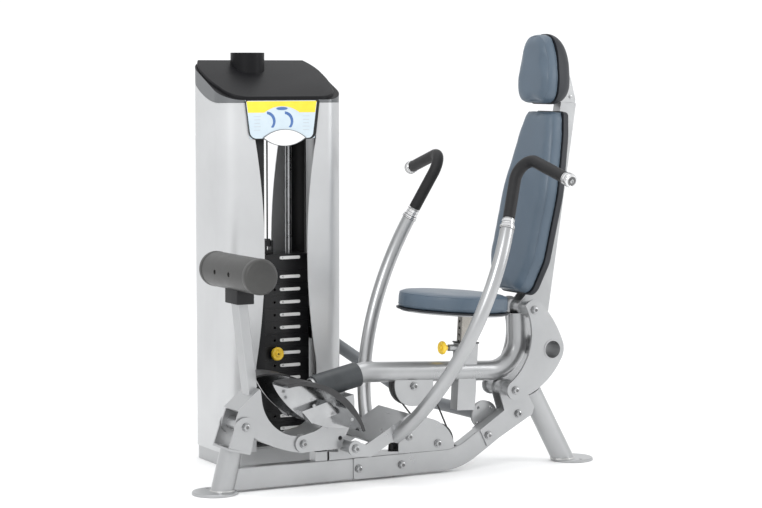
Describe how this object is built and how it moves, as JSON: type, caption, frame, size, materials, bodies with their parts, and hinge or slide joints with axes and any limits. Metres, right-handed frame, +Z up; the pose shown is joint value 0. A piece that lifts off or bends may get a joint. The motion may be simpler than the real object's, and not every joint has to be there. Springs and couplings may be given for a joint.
{
  "type": "chest press machine",
  "caption": "Seated chest press with a rocking seat carriage on two pairs of links, curved press arms, a counterweight and an enclosed weight tower.",
  "frame": {"origin": "centre of the front foot, on the floor", "axes": "+X along the floor rail from the front foot to the back rest end, +Y across towards the weight tower, +Z up"},
  "size_m": [1.679, 1.3791, 1.6523],
  "materials": {
    "silver": "metallic silver powder coat, satin",
    "link_paint": "dark grey powder coat",
    "zinc": "zinc plated",
    "chrome": "bright chrome",
    "rubber": "black rubber and dense foam",
    "cable": "nylon coated steel cable",
    "cap": "charcoal moulded plastic",
    "board": "printed card board, bare",
    "iron": "black painted",
    "pulley": "black nylon",
    "bush": "black nylon",
    "shell": "dark moulded shell",
    "vinyl": "blue grey vinyl over foam",
    "yellow": "yellow plastic, on a steel pin"
  },
  "bodies": {
    "frame": {"front_stand": "silver", "front_rail": "silver", "splice_plates": "silver", "rear_rail": "silver", "rear_stand": "silver", "rear_bracket": "silver", "arm_mount": "silver", "rubber_bumpers": "rubber", "lower_pulley_bracket": "silver", "link_tube": "link_paint", "lower_cable": "cable", "frame_bolts": "zinc", "tower_base": "silver", "tower_frame": "silver", "left_shroud": "silver", "right_shroud": "silver", "top_cap": "cap", "instruction_board": "board", "guide_rods": "zinc", "resting_plates": "iron", "tower_cable": "cable", "stack_cable": "cable"},
    "rail_wheel": {"rail_pulley": "pulley"},
    "tower_wheel_left": {"tower_pulley_left": "pulley"},
    "tower_wheel_right": {"tower_pulley_right": "pulley"},
    "tower_wheel_low": {"tower_pulley_low": "pulley"},
    "rear_link": {"rear_link_plates": "silver", "rear_link_pipe": "silver", "rear_link_bolts": "zinc"},
    "carriage": {"carriage_tube": "silver", "foam_roll": "rubber", "front_bracket": "silver", "foot_plates": "silver", "foot_treads": "rubber", "seat_sleeve": "silver", "seat_bush": "bush", "upper_pulley_bracket": "silver", "back_post": "silver", "pad_shells": "shell", "back_pad": "vinyl", "head_pad": "vinyl", "carriage_bolts": "zinc", "upper_cable": "cable"},
    "carriage_wheel": {"carriage_pulley": "pulley"},
    "seat": {"seat_post": "chrome", "seat_pan": "silver", "seat_pad": "vinyl"},
    "seat_pin": {"seat_knob": "yellow"},
    "front_link": {"crescent_plates": "silver", "counterweight_bar": "silver", "counterweight_drum": "cap", "front_link_pins": "zinc"},
    "press_arms": {"arm_yoke": "silver", "arm_tubes": "silver", "hand_grips": "rubber", "grip_collars": "chrome"},
    "stack": {"top_plate": "iron", "lifted_plates": "iron"},
    "selector": {"selector_pin": "yellow"}
  },
  "joints": [
    {"name": "press_arms_pivot", "type": "hinge", "parent": "frame", "child": "press_arms", "pos_m": [0.505, 0, 0.141], "axis": [0, -1, 0], "range_deg": [0, 17]},
    {"name": "rear_link_pivot", "type": "hinge", "parent": "frame", "child": "rear_link", "pos_m": [1.199, 0, 0.304], "axis": [0, 1, 0], "range_deg": [0, 5.6]},
    {"name": "carriage_pivot", "type": "hinge", "parent": "rear_link", "child": "carriage", "pos_m": [1.281, 0, 0.605], "axis": [0, 1, 0], "range_deg": [-2.8, 0]},
    {"name": "front_link_pivot", "type": "hinge", "parent": "frame", "child": "front_link", "pos_m": [0.092, 0, 0.243], "axis": [0, -1, 0], "range_deg": [0, 9.2]},
    {"name": "stack_lift", "type": "slide", "parent": "frame", "child": "stack", "axis": [0, 0, 1], "range_m": [0, 0.305], "deforming": ["stack_cable"]},
    {"name": "selector_pull", "type": "slide", "parent": "stack", "child": "selector", "axis": [0, -1, 0], "range_m": [0, 0.06]},
    {"name": "seat_height", "type": "slide", "parent": "carriage", "child": "seat", "axis": [0.0523, 0, 0.9986], "range_m": [-0.075, 0.05]},
    {"name": "seat_pin_push", "type": "slide", "parent": "carriage", "child": "seat_pin", "axis": [0.9986, 0, -0.0523], "range_m": [-0.006, 0.008]},
    {"name": "rail_pulley_spin", "type": "hinge", "parent": "frame", "child": "rail_wheel", "pos_m": [0.902, 0, 0.115], "axis": [0, 1, 0], "continuous": true},
    {"name": "carriage_pulley_spin", "type": "hinge", "parent": "carriage", "child": "carriage_wheel", "pos_m": [0.8, 0, 0.338], "axis": [0, 1, 0], "continuous": true},
    {"name": "tower_pulley_left_spin", "type": "hinge", "parent": "frame", "child": "tower_wheel_left", "pos_m": [0.538, 0.625, 1.396], "axis": [0, 1, 0], "continuous": true},
    {"name": "tower_pulley_right_spin", "type": "hinge", "parent": "frame", "child": "tower_wheel_right", "pos_m": [0.637, 0.625, 1.396], "axis": [0, 1, 0], "continuous": true},
    {"name": "tower_pulley_low_spin", "type": "hinge", "parent": "frame", "child": "tower_wheel_low", "pos_m": [0.703, 0.625, 0.5373], "axis": [0, 1, 0], "continuous": true}
  ],
  "couplings": [
    {"joint": "rear_link_pivot", "follows": "press_arms_pivot", "ratio": 0.32143},
    {"joint": "carriage_pivot", "follows": "press_arms_pivot", "ratio": -0.15911},
    {"joint": "front_link_pivot", "follows": "press_arms_pivot", "ratio": 0.53036},
    {"joint": "stack_lift", "follows": "press_arms_pivot", "m_per_rad": 1.0111},
    {"joint": "tower_pulley_left_spin", "follows": "press_arms_pivot", "ratio": 30.64},
    {"joint": "tower_pulley_right_spin", "follows": "press_arms_pivot", "ratio": 30.64},
    {"joint": "tower_pulley_low_spin", "follows": "press_arms_pivot", "ratio": -30.64},
    {"joint": "rail_pulley_spin", "follows": "press_arms_pivot", "ratio": -3.1},
    {"joint": "carriage_pulley_spin", "follows": "press_arms_pivot", "ratio": 1.6}
  ]
}
